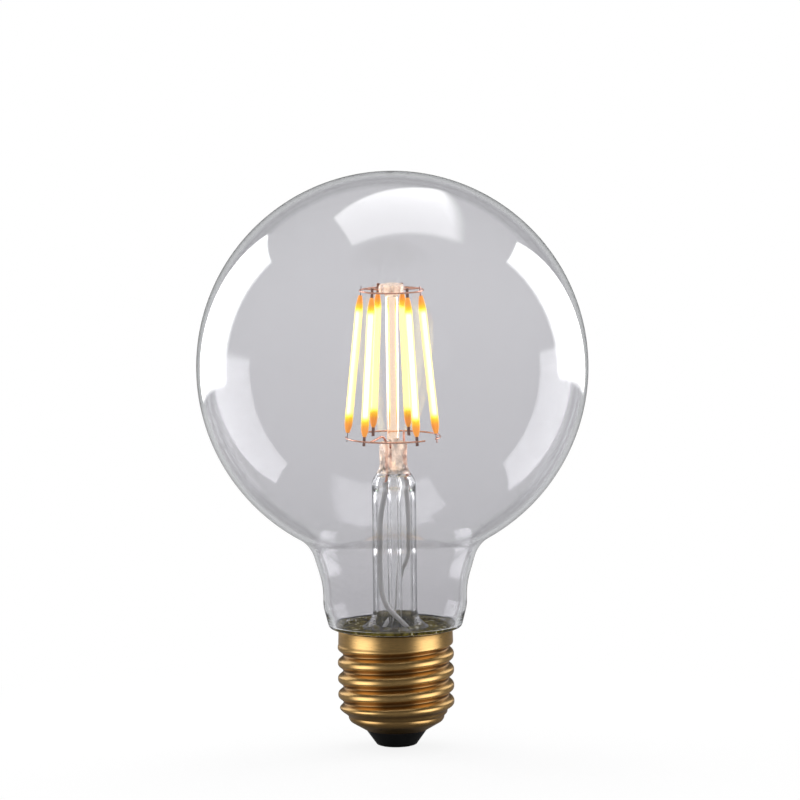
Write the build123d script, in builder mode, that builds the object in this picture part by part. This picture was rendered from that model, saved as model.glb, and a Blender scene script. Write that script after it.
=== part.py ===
from build123d import *
import os
from math import ceil, cos, pi, radians, sin, sqrt, tan

# A clear globe bulb with an E27 screw cap, six LED filaments on a glass stem
# and its driver inside the cap. Millimetres, +Z along the bulb's axis.
# Heights are measured up from the flat underside of the centre contact.

# General clearances
fit = 0.02

# Screw cap shell, rolled from brass sheet
cap_height = 26.7
cap_sheet = 0.3
lip_radius = 6.9
lip_height = 3.6
shoulder_run = 1.0
shoulder_step = 2.3
shoulder_slope = 30.0
shoulder_bend = 1.6
thread_pitch = 3.629
thread_crest_radius = 13.2
thread_depth = 1.2
thread_run_in = 3.0
thread_run_out = 1.2
first_crest_rise = 6.74
skirt_height = 2.9
skirt_step = 0.15
skirt_lean = 0.1
sections_per_turn = 8

# Black glass insulator and centre contact
insulator_rim_height = 0.15
insulator_rim_radius = 4.0
insulator_foot_height = 0.96
insulator_fill_radius = 9.0
insulator_floor = 3.6
contact_radius = 3.7
contact_plate = 0.5
contact_edge = 0.12
contact_shank_radius = 1.2
contact_shank_length = 2.5

# Glass globe and its neck
globe_radius = 44.35
globe_wall = 1.0
neck_radius = 16.3
neck_foot_step = 2.6
neck_foot_gap = 0.3
neck_bulge_rise = 5.1
neck_waist_rise = 4.9
flank_rise = 9.54
flank_lean = 16.6
neck_foot_bend = 1.3
neck_bulge_bend = 9.0
neck_waist_bend = 18.0
globe_root_bend = 8.0
seat_depth = 1.1
cement_gap = 0.35

# Stem: flare tube with its press, exhaust tube and support rod
flange_thickness = 1.2
flare_bend = 4.6
stem_radius = 5.0
stem_wall = 0.9
stem_length = 34.2
press_shoulder_rise = 4.5
press_length = 5.4
press_width = 6.3
press_depth = 3.5
press_corner = 1.2
cavity_inset = 1.2
cavity_rise = 1.4
cavity_width = 6.0
cavity_depth = 3.6
blow_hole_radius = 0.6
blow_hole_rise = 2.2
blow_mouth_x = 0.95
blow_mouth_width = 1.9
blow_mouth_height = 1.0
exhaust_radius = 1.6
exhaust_bore = 0.8
exhaust_tip_gap = 1.3
exhaust_tip_length = 3.0
exhaust_tip_radius = 0.35
rod_radius = 1.4
rod_length = 33.5
button_radius = 2.9
button_thickness = 2.3
button_edge = 0.8

# Filament cage
filament_angles = (70.0, 116.0, 180.0, 231.0, 301.0, 341.0)
filament_length = 31.4
filament_radius = 0.92
filament_top_taper = 4.0
filament_foot_taper = 2.6
filament_end_radius = 0.4
tab_width = 0.7
tab_thickness = 0.15
tab_overhang = 1.0
ring_wire_radius = 0.2
top_ring_radius = 7.2
top_ring_rise = 0.8
spoke_angles = (30.0, 150.0, 270.0)
spoke_depth = 1.2
lower_ring_radius = 10.7
lower_ring_rise = 0.9
front_arc_start_angle = 177.0
front_arc_end_angle = 312.0
back_arc_start_angle = -26.0
back_arc_end_angle = 123.0

# Leads through the press
lead_radius = 0.25
sleeve_bore = 0.32
sleeve_radius = 0.58
sleeve_top_drop = 1.0
sleeve_tail = 2.1
left_weld_angle = 241.0
right_weld_angle = 77.0
left_press_x = -1.45
left_press_y = -0.85
right_press_x = 2.45
right_press_y = 0.3
lead_arch_rise = 1.7
anchor_x = -0.65
anchor_y = -1.0
anchor_length = 5.4
anchor_bend_drop = 0.7
bend_share = 0.45

# Driver in the cap
board_front = 2.4
board_thickness = 1.0
board_width = 19.0
board_height = 13.0
board_drop = 2.9
board_corner = 1.0
lead_hole_x = 4.6
lead_hole_inset = 1.3
shell_hole_edge = 1.2
shell_hole_inset = 2.1
shell_lead_y = 1.4
shell_lead_gap = 0.5
shell_lead_knee_rise = 3.2
shell_lead_end_drop = 0.3
resistor_radius = 1.25
resistor_cap_radius = 1.45
resistor_cap_length = 1.1
resistor_length = 5.8
resistor_lead_rise = 1.3
resistor_hole_rise = 5.2
capacitor_radius = 2.5
capacitor_length = 9.0
capacitor_drop = 4.5
capacitor_bead = 0.25
capacitor_bead_place = 1.4
capacitor_pin_spacing = 2.0
capacitor_pin_reach = 1.1
bridge_x = -5.4
bridge_rise = 4.7
bridge_body = (4.8, 3.9)
bridge_pins = 2
bridge_pin_pitch = 2.5
chip_x = 4.9
chip_rise = 3.1
chip_body = (4.9, 3.2)
chip_pins = 4
chip_pin_pitch = 1.27
package_thickness = 1.4
package_standoff = 0.1
package_draft_angle = 6.0
package_foot = 0.7
package_leg = 0.3
package_pin_width = 0.4
package_pin_thickness = 0.15
solder_radius = 0.75
solder_height = 0.45
solder_taper_angle = 25.0
wire_stub = 0.5

# Cement between neck and shell
cement_top_gap = 0.2
cement_bead_width = 5.2
cement_bead_depth = 2.2
cement_slot_width = 0.7

# Heights and radii that follow from those above, from the cap upwards
shoulder_radius = thread_crest_radius - shoulder_step
shoulder_corner_height = lip_height + (shoulder_radius - lip_radius) * tan(radians(shoulder_slope))
thread_start = shoulder_corner_height + shoulder_run
thread_end = cap_height - skirt_height
crest_height = thread_start + first_crest_rise
thread_mean_radius = thread_crest_radius - thread_depth / 2
thread_inner_radius = thread_crest_radius - thread_depth - cap_sheet
skirt_radius = thread_crest_radius - skirt_step
skirt_inner_radius = skirt_radius - cap_sheet
contact_shank_height = contact_plate + contact_shank_length
seat_radius = skirt_inner_radius - cement_gap
seal_height = cap_height - seat_depth
flange_base_height = seal_height - flange_thickness
neck_foot_radius = seat_radius + neck_foot_step
neck_foot_height = cap_height + neck_foot_gap
neck_bulge_height = neck_foot_height + neck_bulge_rise
neck_waist_height = neck_bulge_height + neck_waist_rise
flank_top_height = neck_waist_height + flank_rise
flank_top_radius = neck_radius + flank_rise * tan(radians(flank_lean))
globe_centre_height = flank_top_height + sqrt(globe_radius**2 - flank_top_radius**2)
stem_bore = stem_radius - stem_wall
stem_shoulder_height = seal_height + stem_length
press_foot_height = stem_shoulder_height + press_shoulder_rise
press_top_height = press_foot_height + press_length
cavity_shoulder_height = stem_shoulder_height - cavity_inset
cavity_top_height = stem_shoulder_height + cavity_rise
blow_hole_height = cavity_top_height + blow_hole_rise
button_base_height = press_top_height + rod_length
top_ring_height = button_base_height + top_ring_rise
lower_ring_height = press_top_height + lower_ring_rise
lead_arch_height = press_top_height + lead_arch_rise
anchor_bend_height = press_top_height - anchor_bend_drop
anchor_foot_height = anchor_bend_height - anchor_length
sleeve_top_height = cavity_top_height - sleeve_top_drop
sleeve_end_height = flange_base_height - sleeve_tail
board_back = board_front + board_thickness
shell_hole_x = board_width / 2 - shell_hole_edge
board_top_height = flange_base_height - board_drop
board_base_height = board_top_height - board_height
lead_hole_height = board_top_height - lead_hole_inset
shell_hole_height = board_top_height - shell_hole_inset
resistor_hole_height = board_base_height + resistor_hole_rise
resistor_base_height = resistor_hole_height - resistor_lead_rise - resistor_length
exhaust_tip_height = resistor_hole_height + exhaust_tip_gap
capacitor_height = board_top_height - capacitor_drop
bridge_height = board_base_height + bridge_rise
chip_height = board_base_height + chip_rise
cement_bead_outer_radius = thread_crest_radius - thread_depth - 2 * cap_sheet
cement_bead_radius = cement_bead_outer_radius - cement_bead_width
cement_bead_height = flange_base_height - cement_bead_depth


def save(piece, name):
    """Label a finished piece and write it under its own name."""
    piece.part.label = name
    export_step(piece.part, f"parts/{name}.step")


def polar(radius, angle, height):
    """A point at a radius and an angle round the bulb's axis."""
    return Vector(radius * cos(radians(angle)), radius * sin(radians(angle)), height)


def ease(share):
    """A smooth step from 0 to 1."""
    share = min(max(share, 0.0), 1.0)
    return share * share * (3 - 2 * share)


def corner_radii(route):
    """The largest arcs that the runs of a route leave room for."""
    points = [Vector(*point) for point in route]
    radii = []
    for before, corner, after in zip(points, points[1:], points[2:]):
        turn = (corner - before).get_angle(after - corner)
        shorter = min((corner - before).length, (after - corner).length)
        radii.append(bend_share * shorter / tan(radians(turn) / 2))
    return radii


def start_plane(route):
    """The plane across a route's first run, at its first point."""
    first, second = Vector(*route[0]), Vector(*route[1])
    return Plane(origin=first, z_dir=second - first)


def bent_wire(route, radius):
    """A round wire along straight runs that are joined by tangent arcs."""
    with BuildPart() as wire:
        with BuildLine():
            FilletPolyline(*route, radius=corner_radii(route))
        with BuildSketch(start_plane(route)):
            Circle(radius)
        sweep()
    return wire


# Cap shell: a bowl-shaped shoulder, the rolled thread and the skirt above it.
# The thread is a stack of circles whose centres walk round the axis.
def thread_centre(height):
    """Where the thread's circle at this height has its centre."""
    swing = thread_depth / 2 * ease((height - thread_start) / (thread_run_in * 2 / 3))
    swing *= ease((thread_end - height) / thread_run_out)
    angle = 2 * pi * (height - crest_height) / thread_pitch
    return swing * cos(angle), swing * sin(angle)


def thread_circle_radius(height):
    """The radius of the thread's circle at this height."""
    rest = 1 - min((height - thread_start) / thread_run_in, 1.0)
    run_in = (thread_mean_radius - shoulder_radius) * rest * rest
    run_out = ease((height - thread_end + thread_run_out) / thread_run_out)
    return thread_mean_radius - run_in + (skirt_radius - thread_mean_radius) * run_out


thread_steps = ceil((thread_end - thread_start) / thread_pitch * sections_per_turn)
thread_levels = [
    thread_start + (thread_end - thread_start) * step / thread_steps
    for step in range(thread_steps + 1)
]
shoulder_corner = (shoulder_radius, shoulder_corner_height)

with BuildPart() as cap_shell:
    for level in thread_levels:
        with BuildSketch(Plane.XY.offset(level)):
            with Locations(thread_centre(level)):
                Circle(thread_circle_radius(level))
    loft()
    for level in thread_levels:
        with BuildSketch(Plane.XY.offset(level)):
            with Locations(thread_centre(level)):
                Circle(thread_circle_radius(level) - cap_sheet)
    loft(mode=Mode.SUBTRACT)
    with BuildSketch(Plane.XZ):
        with BuildLine():
            Polyline((lip_radius, lip_height), shoulder_corner, (shoulder_radius, thread_start))
            fillet(vertices().sort_by(Axis.Y)[1], radius=shoulder_bend)
            offset(amount=cap_sheet, side=Side.LEFT)
        make_face()
    revolve(axis=Axis.Z)
    with BuildSketch(Plane.XZ):
        with BuildLine():
            Polyline(
                (skirt_inner_radius, thread_end),
                (skirt_radius, thread_end),
                (skirt_radius - skirt_lean, cap_height),
                (skirt_inner_radius - skirt_lean, cap_height),
                close=True,
            )
        make_face()
    revolve(axis=Axis.Z)
save(cap_shell, "cap_shell")

# Insulator: black glass run into the shoulder, with a recess for the contact
lip_inner_radius = lip_radius - cap_sheet * sin(radians(shoulder_slope))
lip_inner_height = lip_height + cap_sheet * cos(radians(shoulder_slope))
fill_rise = (insulator_fill_radius - lip_inner_radius) * tan(radians(shoulder_slope))
contact_hole_radius = contact_shank_radius + fit
recess_radius = contact_radius + fit

with BuildPart() as insulator:
    with BuildSketch(Plane.XZ):
        with BuildLine():
            foot = JernArc(
                (insulator_rim_radius, insulator_rim_height),
                (1, 0),
                insulator_foot_height - insulator_rim_height,
                60,
            )
            Polyline(
                foot @ 1,
                (lip_radius, lip_height),
                (lip_inner_radius, lip_inner_height),
                (insulator_fill_radius, lip_inner_height + fill_rise),
                (insulator_rim_radius, insulator_floor),
                (contact_hole_radius, insulator_floor),
                (contact_hole_radius, contact_plate),
                (recess_radius, contact_plate),
                (recess_radius, insulator_rim_height),
                foot @ 0,
            )
        make_face()
    revolve(axis=Axis.Z)
save(insulator, "insulator")

# Centre contact: a flat plate on a hollow shank that takes the resistor's lead
with BuildPart() as centre_contact:
    with BuildSketch():
        Circle(contact_radius)
    extrude(amount=contact_plate)
    fillet(edges().group_by(Axis.Z)[0], radius=contact_edge)
    with BuildSketch(Plane.XY.offset(contact_plate)):
        Circle(contact_shank_radius)
        Circle(lead_radius + fit, mode=Mode.SUBTRACT)
    extrude(amount=contact_shank_height - contact_plate)
save(centre_contact, "centre_contact")

# Glass globe: one blown shell, from the globe down to the neck's sealed end.
# The flank's line runs on into the globe, so that they meet at one corner.
with BuildPart() as glass_globe:
    with BuildSketch(Plane.XZ) as globe_profile:
        with Locations((0, globe_centre_height)):
            Circle(globe_radius)
        with BuildLine():
            Polyline(
                (0, seal_height),
                (seat_radius, seal_height),
                (seat_radius, neck_foot_height - fit),
                (neck_foot_radius, neck_foot_height),
                (neck_radius, neck_bulge_height),
                (neck_radius, neck_waist_height),
                (2 * flank_top_radius - neck_radius, flank_top_height + flank_rise),
                (0, flank_top_height + flank_rise),
                close=True,
            )
        make_face()
        corners = vertices().filter_by(lambda v: v.X > seat_radius + fit).sort_by(Axis.Y)
        fillet(corners[0], radius=neck_foot_bend)
        fillet(corners[1], radius=neck_bulge_bend)
        fillet(corners[2], radius=neck_waist_bend)
        fillet(corners[3], radius=globe_root_bend)
        split(bisect_by=Plane.YZ, keep=Keep.TOP)
    revolve(axis=Axis.Z)
    offset(amount=-globe_wall, openings=faces().sort_by(Axis.Z)[0])
save(glass_globe, "glass_globe")

# Routes of the wires, from the cage down through the press into the cap
weld_radius = lower_ring_radius - ring_wire_radius - 2 * fit


def stem_point(x, y, share):
    """A point inside the stem, at a share of the way up from its flange."""
    return (x, y, flange_base_height + share * (cavity_top_height - flange_base_height))


left_route = [
    polar(weld_radius, left_weld_angle, lower_ring_height),
    (left_press_x, left_press_y, lead_arch_height),
    stem_point(left_press_x, left_press_y, 1.06),
    stem_point(-1.45, -1.95, 0.97),
    stem_point(-2.4, -1.5, 0.86),
    stem_point(-3.1, -0.9, 0.74),
    stem_point(-3.3, -0.8, 0.56),
    stem_point(-3.2, -1.1, 0.33),
    stem_point(-1.9, -2.6, 0.21),
    stem_point(0.9, -2.8, 0.12),
    stem_point(3.2, -2.0, 0.02),
    (lead_hole_x, 0.2, lead_hole_height),
    (lead_hole_x, board_back + wire_stub, lead_hole_height),
]
right_route = [
    polar(weld_radius, right_weld_angle, lower_ring_height),
    (right_press_x, right_press_y, lead_arch_height),
    stem_point(right_press_x, right_press_y, 1.0),
    stem_point(3.1, 0.5, 0.86),
    stem_point(3.35, 0.7, 0.70),
    stem_point(3.2, 1.2, 0.54),
    stem_point(1.2, 2.8, 0.39),
    stem_point(0.4, 3.0, 0.21),
    stem_point(-0.9, 2.8, 0.10),
    stem_point(-3.4, 1.2, -0.005),
    (-lead_hole_x, 0.4, lead_hole_height),
    (-lead_hole_x, board_back + wire_stub, lead_hole_height),
]
anchor_route = [
    (anchor_x, anchor_y, anchor_foot_height),
    (anchor_x, anchor_y, anchor_bend_height),
    (anchor_x, -weld_radius, lower_ring_height),
]
shell_lead_route = [
    (shell_hole_x, board_back + wire_stub, shell_hole_height),
    (shell_hole_x, shell_lead_y, shell_hole_height),
    (
        thread_inner_radius - lead_radius - shell_lead_gap,
        shell_lead_y,
        shell_hole_height + shell_lead_knee_rise,
    ),
    (
        sqrt((skirt_inner_radius - lead_radius - 4 * fit) ** 2 - shell_lead_y**2),
        shell_lead_y,
        flange_base_height - shell_lead_end_drop,
    ),
]

# Flare tube: its foot flares out to the neck's end, and its top is pressed
# flat round the leads
with BuildPart() as stem_flare_tube:
    with BuildSketch(Plane.XZ):
        with BuildLine():
            Line((stem_bore, flange_base_height), (seat_radius, flange_base_height))
            Line((seat_radius, flange_base_height), (seat_radius, seal_height))
            Line((seat_radius, seal_height), (stem_radius + flare_bend, seal_height))
            RadiusArc(
                (stem_radius + flare_bend, seal_height),
                (stem_radius, seal_height + flare_bend),
                flare_bend,
            )
            Line((stem_radius, seal_height + flare_bend), (stem_radius, stem_shoulder_height))
            Line((stem_radius, stem_shoulder_height), (0, stem_shoulder_height))
            Line((0, stem_shoulder_height), (0, flange_base_height))
            Line((0, flange_base_height), (stem_bore, flange_base_height))
        make_face()
    revolve(axis=Axis.Z)
    with BuildSketch(Plane.XY.offset(stem_shoulder_height)):
        Circle(stem_radius)
    with BuildSketch(Plane.XY.offset(press_foot_height)):
        RectangleRounded(press_width, press_depth, press_corner)
    loft()
    with BuildSketch(Plane.XY.offset(press_foot_height)):
        RectangleRounded(press_width, press_depth, press_corner)
    extrude(amount=press_top_height - press_foot_height)
    with BuildSketch(Plane.XZ):
        with BuildLine():
            Line((0, flange_base_height), (stem_bore + flare_bend, flange_base_height))
            RadiusArc(
                (stem_bore + flare_bend, flange_base_height),
                (stem_bore, flange_base_height + flare_bend),
                flare_bend,
            )
            Line((stem_bore, flange_base_height + flare_bend), (stem_bore, cavity_shoulder_height))
            Line((stem_bore, cavity_shoulder_height), (0, cavity_shoulder_height))
            Line((0, cavity_shoulder_height), (0, flange_base_height))
        make_face()
    revolve(axis=Axis.Z, mode=Mode.SUBTRACT)
    with BuildSketch(Plane.XY.offset(cavity_shoulder_height)):
        Circle(stem_bore)
    with BuildSketch(Plane.XY.offset(cavity_top_height)):
        Ellipse(cavity_width / 2, cavity_depth / 2)
    loft(mode=Mode.SUBTRACT)
    with BuildSketch(Plane.XY.offset(cavity_top_height)):
        Circle(blow_hole_radius)
    extrude(amount=blow_hole_height - cavity_top_height, mode=Mode.SUBTRACT)
    with BuildSketch(Plane.XZ):
        with Locations((blow_mouth_x, blow_hole_height)):
            Ellipse(blow_mouth_width / 2, blow_mouth_height / 2)
    extrude(amount=stem_radius, mode=Mode.SUBTRACT)
    for route in (left_route, right_route, anchor_route):
        with BuildLine():
            FilletPolyline(*route, radius=corner_radii(route))
        with BuildSketch(start_plane(route)):
            Circle(lead_radius + fit)
        sweep(mode=Mode.SUBTRACT)
save(stem_flare_tube, "stem_flare_tube")

# Exhaust tube, open above under the press and tipped off below
with BuildPart() as exhaust_tube:
    with BuildSketch(Plane.XZ):
        with BuildLine():
            Polyline(
                (0, exhaust_tip_height),
                (exhaust_tip_radius, exhaust_tip_height),
                (exhaust_radius, exhaust_tip_height + exhaust_tip_length),
                (exhaust_radius, cavity_top_height),
                (exhaust_bore, cavity_top_height),
                (exhaust_bore, exhaust_tip_height + exhaust_tip_length),
                (0, exhaust_tip_height + exhaust_tip_length - exhaust_bore),
                close=True,
            )
        make_face()
    revolve(axis=Axis.Z)
save(exhaust_tube, "exhaust_tube")


# Support rod: drawn glass with a flattened button that grips the spokes
def spoke_line(angle):
    """From inside the button out to the top ring, at one angle."""
    return [
        polar(button_radius - spoke_depth, angle, top_ring_height),
        polar(top_ring_radius, angle, top_ring_height),
    ]


with BuildPart() as support_rod:
    with BuildSketch(Plane.XY.offset(press_top_height)):
        Circle(rod_radius)
    extrude(amount=button_base_height - press_top_height)
    with BuildSketch(Plane.XY.offset(button_base_height)):
        Circle(button_radius)
    extrude(amount=button_thickness)
    button_rims = edges().filter_by(GeomType.CIRCLE).sort_by(SortBy.RADIUS)[-2:]
    fillet(button_rims, radius=button_edge)
    for angle in spoke_angles:
        with BuildLine():
            Line(*spoke_line(angle))
        with BuildSketch(start_plane(spoke_line(angle))):
            Circle(ring_wire_radius + fit)
        sweep(mode=Mode.SUBTRACT)
save(support_rod, "support_rod")

# Top ring with its spokes welded on, one wire piece
with BuildPart() as top_ring_wire:
    with BuildSketch(Plane.XZ):
        with Locations((top_ring_radius, top_ring_height)):
            Circle(ring_wire_radius)
    revolve(axis=Axis.Z)
    for angle in spoke_angles:
        with BuildLine():
            Line(*spoke_line(angle))
        with BuildSketch(start_plane(spoke_line(angle))):
            Circle(ring_wire_radius)
        sweep()
save(top_ring_wire, "top_ring_wire")


# Lower arcs, which split the filaments into two groups of three
def ring_arc(start_angle, end_angle):
    """A bent piece of wire on the lower ring's circle."""
    profile = Plane(
        origin=polar(lower_ring_radius, start_angle, lower_ring_height),
        x_dir=polar(1, start_angle, 0),
        z_dir=polar(1, start_angle + 90, 0),
    )
    with BuildPart() as arc:
        with BuildSketch(profile):
            Circle(ring_wire_radius)
        revolve(axis=Axis.Z, revolution_arc=end_angle - start_angle)
    return arc


lower_ring_front = ring_arc(front_arc_start_angle, front_arc_end_angle)
save(lower_ring_front, "lower_ring_front")
lower_ring_back = ring_arc(back_arc_start_angle, back_arc_end_angle)
save(lower_ring_back, "lower_ring_back")


# Filaments: coated strips with a metal tab at each end, welded inside the rings
filament_span = Vector(
    top_ring_radius - lower_ring_radius, 0, top_ring_height - lower_ring_height
).length
filament_half = filament_length / 2


def filament_axis_plane(angle):
    """A plane at a filament's middle, with its normal along the filament."""
    inset = ring_wire_radius + tab_thickness / 2 + fit
    upper = polar(top_ring_radius - inset, angle, top_ring_height)
    lower = polar(lower_ring_radius - inset, angle, lower_ring_height)
    middle = (upper + lower) / 2
    return Plane(origin=middle, x_dir=polar(1, angle + 90, 0), z_dir=upper - lower)


def filament_coat(across):
    """The coated strip: a round rod with rounded, tapering ends."""
    lengthwise = Plane(origin=across.origin, x_dir=across.x_dir, z_dir=-across.y_dir)
    foot = (filament_end_radius, -filament_half)
    foot_shoulder = (filament_radius, filament_foot_taper - filament_half)
    top_shoulder = (filament_radius, filament_half - filament_top_taper)
    top = (filament_end_radius, filament_half)
    with BuildPart() as coat:
        with BuildSketch(lengthwise):
            with BuildLine():
                Line((0, -filament_half), foot)
                TangentArc(foot_shoulder, foot, tangent=(0, -1))
                Line(foot_shoulder, top_shoulder)
                TangentArc(top_shoulder, top, tangent=(0, 1))
                Line(top, (0, filament_half))
                Line((0, filament_half), (0, -filament_half))
            make_face()
        revolve(axis=Axis(across.origin, across.z_dir))
    return coat


def filament_tabs(across):
    """The two flat end tabs of one filament, each a strip past its ring."""
    reach = (filament_span - filament_length) / 2 + tab_overhang
    with BuildPart() as tabs:
        for start in (filament_half, -filament_half - reach):
            with BuildSketch(across.offset(start)):
                Rectangle(tab_width, tab_thickness)
            extrude(amount=reach)
    return tabs


for number, angle in enumerate(filament_angles, start=1):
    across = filament_axis_plane(angle)
    save(filament_coat(across), f"filament_{number}")
    save(filament_tabs(across), f"filament_tabs_{number}")

# Lead wires and their sleeves
lead_wire_left = bent_wire(left_route, lead_radius)
save(lead_wire_left, "lead_wire_left")
lead_wire_right = bent_wire(right_route, lead_radius)
save(lead_wire_right, "lead_wire_right")
anchor_wire = bent_wire(anchor_route, lead_radius)
save(anchor_wire, "anchor_wire")
shell_lead = bent_wire(shell_lead_route, lead_radius)
save(shell_lead, "shell_lead")


def lead_sleeve(route):
    """A soft sleeve over a lead, from under the press into the cap."""
    with BuildPart() as sleeve:
        with BuildLine():
            FilletPolyline(*route, radius=corner_radii(route))
        with BuildSketch(start_plane(route)):
            Circle(sleeve_radius)
            Circle(sleeve_bore, mode=Mode.SUBTRACT)
        sweep()
        split(bisect_by=Plane.XY.offset(sleeve_top_height), keep=Keep.BOTTOM)
        split(bisect_by=Plane.XY.offset(sleeve_end_height), keep=Keep.TOP)
    return sleeve


save(lead_sleeve(left_route), "lead_sleeve_left")
save(lead_sleeve(right_route), "lead_sleeve_right")

# Cement between the neck, the flange and the shell, with a slot for the shell's lead
with BuildPart() as cap_cement:
    with BuildSketch(Plane.XZ):
        with BuildLine():
            Polyline(
                (cement_bead_radius, flange_base_height - fit),
                (cement_bead_radius, cement_bead_height),
                (cement_bead_outer_radius, cement_bead_height),
                (cement_bead_outer_radius, thread_end),
                (skirt_inner_radius - fit, thread_end),
                (skirt_inner_radius - skirt_lean - fit, cap_height - cement_top_gap),
                (seat_radius + fit, cap_height - cement_top_gap),
                (seat_radius + fit, flange_base_height - fit),
                close=True,
            )
        make_face()
    revolve(axis=Axis.Z)
    with BuildSketch(Plane.XY.offset(cement_bead_height)):
        with Locations((skirt_radius, shell_lead_y)):
            Rectangle(2 * (skirt_radius - cement_bead_radius) + cap_sheet, cement_slot_width)
    extrude(amount=flange_base_height - cement_bead_height, mode=Mode.SUBTRACT)
save(cap_cement, "cap_cement")

# Driver board, upright in the cap behind the exhaust tube
board_face = Plane(origin=(0, board_front, 0), x_dir=(1, 0, 0), z_dir=(0, -1, 0))
capacitor_y = board_back + capacitor_radius + fit
capacitor_pin_x = capacitor_length / 2 + capacitor_pin_reach
capacitor_pin_heights = (
    capacitor_height - capacitor_pin_spacing / 2,
    capacitor_height + capacitor_pin_spacing / 2,
)
rear_joints = [
    (lead_hole_x, lead_hole_height),
    (-lead_hole_x, lead_hole_height),
    (shell_hole_x, shell_hole_height),
    (0, resistor_hole_height),
]
front_joints = [(capacitor_pin_x, height) for height in capacitor_pin_heights]

with BuildPart() as driver_board:
    with BuildSketch(board_face):
        with Locations((0, board_base_height + board_height / 2)):
            RectangleRounded(board_width, board_height, board_corner)
        with Locations(*rear_joints, *front_joints):
            Circle(lead_radius + fit, mode=Mode.SUBTRACT)
    extrude(amount=-board_thickness)
save(driver_board, "driver_board")


def board_package(name, x, height, body, pins, pin_pitch):
    """A small moulded package with a row of bent legs above and below."""
    body_x, body_z = body
    seat = Plane(origin=(x, board_front, height), x_dir=(1, 0, 0), z_dir=(0, -1, 0))
    with BuildPart() as package:
        with BuildSketch(seat.offset(package_standoff)):
            Rectangle(body_x, body_z)
        extrude(amount=package_thickness, taper=package_draft_angle)
        with BuildSketch(seat):
            with GridLocations(pin_pitch, body_z + package_foot, pins, 2):
                Rectangle(package_pin_width, package_foot)
        extrude(amount=package_pin_thickness)
        with BuildSketch(seat):
            with GridLocations(pin_pitch, body_z, pins, 2):
                Rectangle(package_pin_width, package_leg)
        extrude(amount=package_standoff + package_thickness / 2)
    save(package, name)


board_package("bridge_rectifier", bridge_x, bridge_height, bridge_body, bridge_pins, bridge_pin_pitch)
board_package("driver_chip", chip_x, chip_height, chip_body, chip_pins, chip_pin_pitch)

# Smoothing capacitor, lying behind the board on its two leads
with BuildPart() as smoothing_capacitor:
    can_end = Plane(
        origin=(-capacitor_length / 2, capacitor_y, capacitor_height),
        x_dir=(0, 1, 0),
        z_dir=(1, 0, 0),
    )
    with BuildSketch(can_end):
        Circle(capacitor_radius)
    extrude(amount=capacitor_length)
    fillet(edges().filter_by(GeomType.CIRCLE), radius=capacitor_bead)
    bead_plane = can_end.offset(capacitor_length - capacitor_bead_place)
    with BuildSketch(bead_plane):
        Circle(capacitor_radius)
        Circle(capacitor_radius - capacitor_bead, mode=Mode.SUBTRACT)
    extrude(amount=2 * capacitor_bead, mode=Mode.SUBTRACT)
    for pin_height in capacitor_pin_heights:
        pin_route = [
            (0, capacitor_y, pin_height),
            (capacitor_pin_x, capacitor_y, pin_height),
            (capacitor_pin_x, board_front - wire_stub, pin_height),
        ]
        with BuildLine():
            FilletPolyline(*pin_route, radius=capacitor_pin_reach / 2)
        with BuildSketch(start_plane(pin_route)):
            Circle(lead_radius)
        sweep()
save(smoothing_capacitor, "smoothing_capacitor")

# Fusible resistor, whose lower lead runs down into the centre contact
with BuildPart() as fusible_resistor:
    with BuildSketch(Plane.XZ):
        with Locations((0, resistor_base_height)):
            Rectangle(resistor_radius, resistor_length, align=(Align.MIN, Align.MIN))
            Rectangle(resistor_cap_radius, resistor_cap_length, align=(Align.MIN, Align.MIN))
        with Locations((0, resistor_base_height + resistor_length)):
            Rectangle(resistor_cap_radius, resistor_cap_length, align=(Align.MIN, Align.MAX))
        with Locations((0, contact_plate)):
            Rectangle(
                lead_radius, resistor_base_height - contact_plate, align=(Align.MIN, Align.MIN)
            )
    revolve(axis=Axis.Z)
    upper_lead_route = [
        (0, 0, resistor_base_height + resistor_length / 2),
        (0, 0, resistor_hole_height),
        (0, board_back + wire_stub, resistor_hole_height),
    ]
    with BuildLine():
        FilletPolyline(*upper_lead_route, radius=2 * lead_radius)
    with BuildSketch(start_plane(upper_lead_route)):
        Circle(lead_radius)
    sweep()
save(fusible_resistor, "fusible_resistor")

# Solder joints round every wire that passes through the board
rear_face = Plane(origin=(0, board_back, 0), x_dir=(-1, 0, 0), z_dir=(0, 1, 0))
rear_places = [(-x, height) for x, height in rear_joints]

with BuildPart() as solder_joints:
    for face, joints in ((rear_face, rear_places), (board_face, front_joints)):
        with BuildSketch(face):
            with Locations(*joints):
                Circle(solder_radius)
                Circle(lead_radius + fit, mode=Mode.SUBTRACT)
        extrude(amount=solder_height, taper=solder_taper_angle)
save(solder_joints, "solder_joints")
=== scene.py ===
import math

import bpy
from mathutils import Matrix, Quaternion, Vector


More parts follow.
